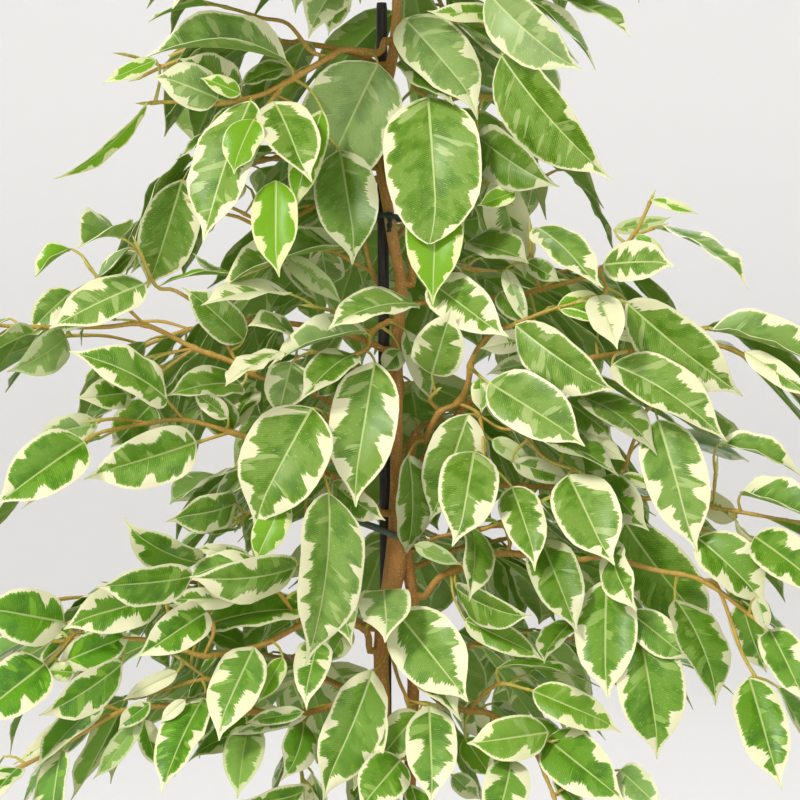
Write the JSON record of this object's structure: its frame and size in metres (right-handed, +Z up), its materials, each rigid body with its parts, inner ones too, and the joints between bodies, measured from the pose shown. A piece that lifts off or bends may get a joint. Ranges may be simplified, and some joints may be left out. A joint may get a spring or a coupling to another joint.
{
  "type": "potted plant",
  "caption": "Young weeping fig with cream-edged leaves, its slim stems tied to a dark cane, in a plain round clay pot of soil.",
  "frame": {"origin": "middle of the pot's flat base, where it rests", "axes": "+Z up along the stems, +X to the right and +Y away as the picture's camera sees the plant"},
  "size_m": [0.5498, 0.3866, 0.9419],
  "materials": {
    "clay": "matte",
    "soil": "matte",
    "bark": "matte",
    "cane": "satin",
    "tie": "matte",
    "leaf": "satin"
  },
  "bodies": {
    "root": {"branch_back_a": "leaf", "branch_back_b": "leaf", "branch_back_c": "leaf", "branch_back_d": "leaf", "branch_back_e": "leaf", "branch_back_f": "leaf", "branch_back_g": "leaf", "branch_back_h": "leaf", "branch_back_i": "leaf", "branch_back_j": "leaf", "branch_back_k": "leaf", "branch_back_l": "leaf", "branch_back_m": "leaf", "branch_bottom_right": "leaf", "branch_crown_a": "leaf", "branch_crown_b": "leaf", "branch_crown_c": "leaf", "branch_crown_d": "leaf", "branch_crown_e": "leaf", "branch_crown_f": "leaf", "branch_crown_g": "leaf", "branch_crown_h": "leaf", "branch_left_bottom": "leaf", "branch_left_fork": "leaf", "branch_left_inner": "leaf", "branch_left_leafy": "leaf", "branch_left_long": "leaf", "branch_left_low": "leaf", "branch_left_mid": "leaf", "branch_left_top": "leaf", "branch_left_upper": "leaf", "branch_low_front": "leaf", "branch_right_core": "leaf", "branch_right_dark": "leaf", "branch_right_long": "leaf", "branch_right_low": "leaf", "branch_right_mid": "leaf", "branch_right_thin": "leaf", "branch_right_top": "leaf", "branch_top_front": "leaf", "branch_top_left": "leaf", "branch_top_right": "leaf", "branch_top_shoot": "leaf", "branch_upright": "leaf", "cane": "cane", "pot": "clay", "soil": "soil", "stem_main": "bark", "stem_second": "bark", "tie_lower": "tie", "tie_upper": "tie"}
  },
  "joints": []
}
